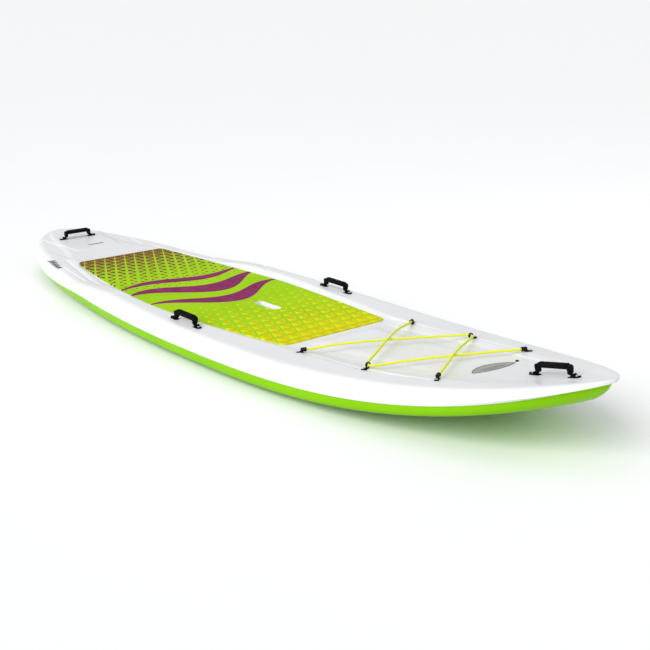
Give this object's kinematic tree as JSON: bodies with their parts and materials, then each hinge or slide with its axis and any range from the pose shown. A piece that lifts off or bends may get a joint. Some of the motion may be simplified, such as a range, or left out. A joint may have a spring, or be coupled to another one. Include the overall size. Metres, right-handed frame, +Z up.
{
  "type": "stand up paddleboard",
  "caption": "Rigid stand up paddleboard with moulded deck and hull skins over a foam core, a traction pad, carry handles, laced bungee cords, a vent plug and a fin box.",
  "frame": {"origin": "middle of the board's box at the level of the hull's flat bottom, where it rests", "axes": "+X to the bow, +Y to port, +Z up"},
  "size_m": [3.2, 0.8366, 0.2594],
  "materials": {
    "deck_white": "smooth moulded white, satin gloss",
    "hull_green": "glossy lime green moulded skin",
    "foam": "expanded polystyrene foam, sealed inside",
    "pad_lime": "lime EVA foam, matte, with printed triangles",
    "black_rubber": "black moulded rubber, matte",
    "black_plastic": "black moulded nylon, fine texture",
    "nylon": "natural nylon backing block",
    "steel": "stainless steel",
    "bungee": "yellow-green braided shock cord",
    "chrome_badge": "satin chrome plate",
    "mark_grey": "dark grey inlaid strip"
  },
  "bodies": {
    "board": {"deck_skin": "deck_white", "hull_skin": "hull_green", "foam_core_1": "foam", "foam_core_2": "foam", "foam_core_3": "foam", "foam_core_4": "foam", "foam_core_5": "foam", "foam_core_6": "foam", "foam_core_7": "foam", "traction_pad": "pad_lime", "centre_grip_cup": "deck_white", "bow_handle_block": "nylon", "bow_handle_foot_fore": "black_plastic", "bow_handle_screw_fore": "steel", "bow_handle_foot_aft": "black_plastic", "bow_handle_screw_aft": "steel", "port_handle_block": "nylon", "port_handle_foot_fore": "black_plastic", "port_handle_screw_fore": "steel", "port_handle_foot_aft": "black_plastic", "port_handle_screw_aft": "steel", "starboard_handle_block": "nylon", "starboard_handle_foot_fore": "black_plastic", "starboard_handle_screw_fore": "steel", "starboard_handle_foot_aft": "black_plastic", "starboard_handle_screw_aft": "steel", "tail_handle_block": "nylon", "tail_handle_foot_fore": "black_plastic", "tail_handle_screw_fore": "steel", "tail_handle_foot_aft": "black_plastic", "tail_handle_screw_aft": "steel", "port_cord_aft_socket": "black_plastic", "port_aft_socket_screw": "steel", "port_cord_middle_eye": "black_plastic", "port_middle_eye_screw": "steel", "port_cord_fore_socket": "black_plastic", "port_fore_socket_screw": "steel", "starboard_cord_aft_socket": "black_plastic", "starboard_aft_socket_screw": "steel", "starboard_cord_middle_eye": "black_plastic", "starboard_middle_eye_screw": "steel", "starboard_cord_fore_socket": "black_plastic", "starboard_fore_socket_screw": "steel", "bungee_cord_a": "bungee", "bungee_cord_b": "bungee", "bow_badge": "chrome_badge", "tail_mark": "mark_grey", "vent_seat": "deck_white", "vent_seal": "black_rubber", "fin_box": "black_plastic"},
    "bow_handle": {"bow_handle_band": "black_rubber", "bow_handle_grip": "black_rubber"},
    "port_handle": {"port_handle_band": "black_rubber", "port_handle_grip": "black_rubber"},
    "starboard_handle": {"starboard_handle_band": "black_rubber", "starboard_handle_grip": "black_rubber"},
    "tail_handle": {"tail_handle_band": "black_rubber", "tail_handle_grip": "black_rubber"},
    "vent_plug": {"vent_plug": "black_plastic"}
  },
  "joints": [
    {"name": "bow_handle_lean", "type": "hinge", "parent": "board", "child": "bow_handle", "pos_m": [1.39196, 0, 0.21534], "axis": [0.9799, 0, 0.1997], "range_deg": [-60, 60], "stiffness_Nm_per_rad": 0.4},
    {"name": "port_handle_lean", "type": "hinge", "parent": "board", "child": "port_handle", "pos_m": [0.02305, 0.355, 0.1289], "axis": [0.9999, 0, -0.0103], "range_deg": [-60, 60], "stiffness_Nm_per_rad": 0.4},
    {"name": "starboard_handle_lean", "type": "hinge", "parent": "board", "child": "starboard_handle", "pos_m": [0.02305, -0.355, 0.1289], "axis": [0.9999, 0, -0.0103], "range_deg": [-60, 60], "stiffness_Nm_per_rad": 0.4},
    {"name": "tail_handle_lean", "type": "hinge", "parent": "board", "child": "tail_handle", "pos_m": [-1.42668, 0, 0.14776], "axis": [0, 1, 0], "range_deg": [-60, 60], "stiffness_Nm_per_rad": 0.4},
    {"name": "vent_plug_turn", "type": "hinge", "parent": "board", "child": "vent_plug", "pos_m": [1.165, 0.107, 0.1702], "axis": [-0.1543, 0, 0.988], "continuous": true}
  ]
}
